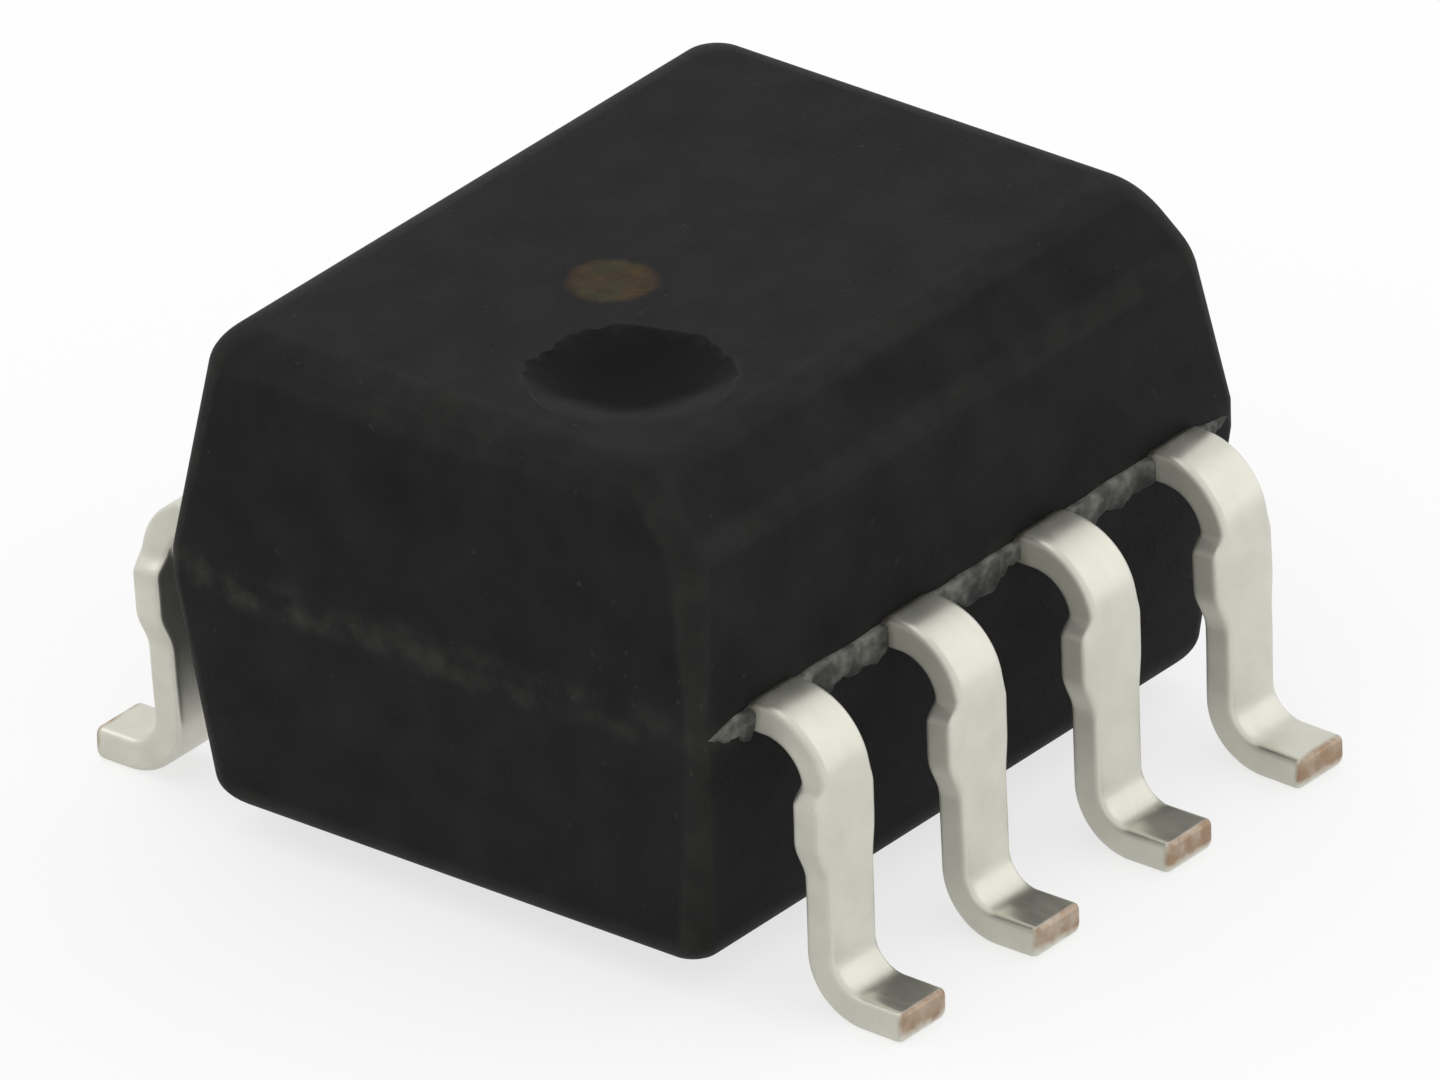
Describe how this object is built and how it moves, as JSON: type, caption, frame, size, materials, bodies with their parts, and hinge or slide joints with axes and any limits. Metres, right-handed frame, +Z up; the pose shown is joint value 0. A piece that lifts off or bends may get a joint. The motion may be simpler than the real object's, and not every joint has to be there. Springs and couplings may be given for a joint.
{
  "type": "optocoupler",
  "caption": "Surface-mount optocoupler: moulded black body with bevelled top edge, index dimple and rows of gull-wing leads, emitter facing detector inside.",
  "frame": {"origin": "centre of the seating plane, under the middle of the body", "axes": "+X along the rows of leads from pin 1 towards pin 4, +Y across to the opposite row, +Z up from the board"},
  "size_m": [0.0052, 0.006, 0.0033],
  "materials": {
    "mould_compound": "fine matte charcoal moulding compound",
    "tinned_lead": "matte tin plate over copper alloy, bare copper at the cut tips",
    "die": "polished semiconductor",
    "adhesive": "silver-filled adhesive",
    "bond_wire": "drawn gold wire",
    "gel": "clear silicone",
    "film": "clear amber film"
  },
  "bodies": {
    "root": {"moulded_body": "mould_compound", "lead_1_spare": "tinned_lead", "lead_2_anode": "tinned_lead", "lead_3_cathode": "tinned_lead", "lead_4_spare": "tinned_lead", "lead_5_ground": "tinned_lead", "lead_6_output": "tinned_lead", "lead_7_base": "tinned_lead", "lead_8_supply": "tinned_lead", "emitter_die": "die", "emitter_attach": "adhesive", "emitter_wire": "bond_wire", "emitter_gel": "gel", "detector_die": "die", "detector_attach": "adhesive", "output_wire": "bond_wire", "base_wire": "bond_wire", "supply_wire": "bond_wire", "ground_wire": "bond_wire", "detector_gel": "gel", "insulating_film": "film"}
  },
  "joints": []
}
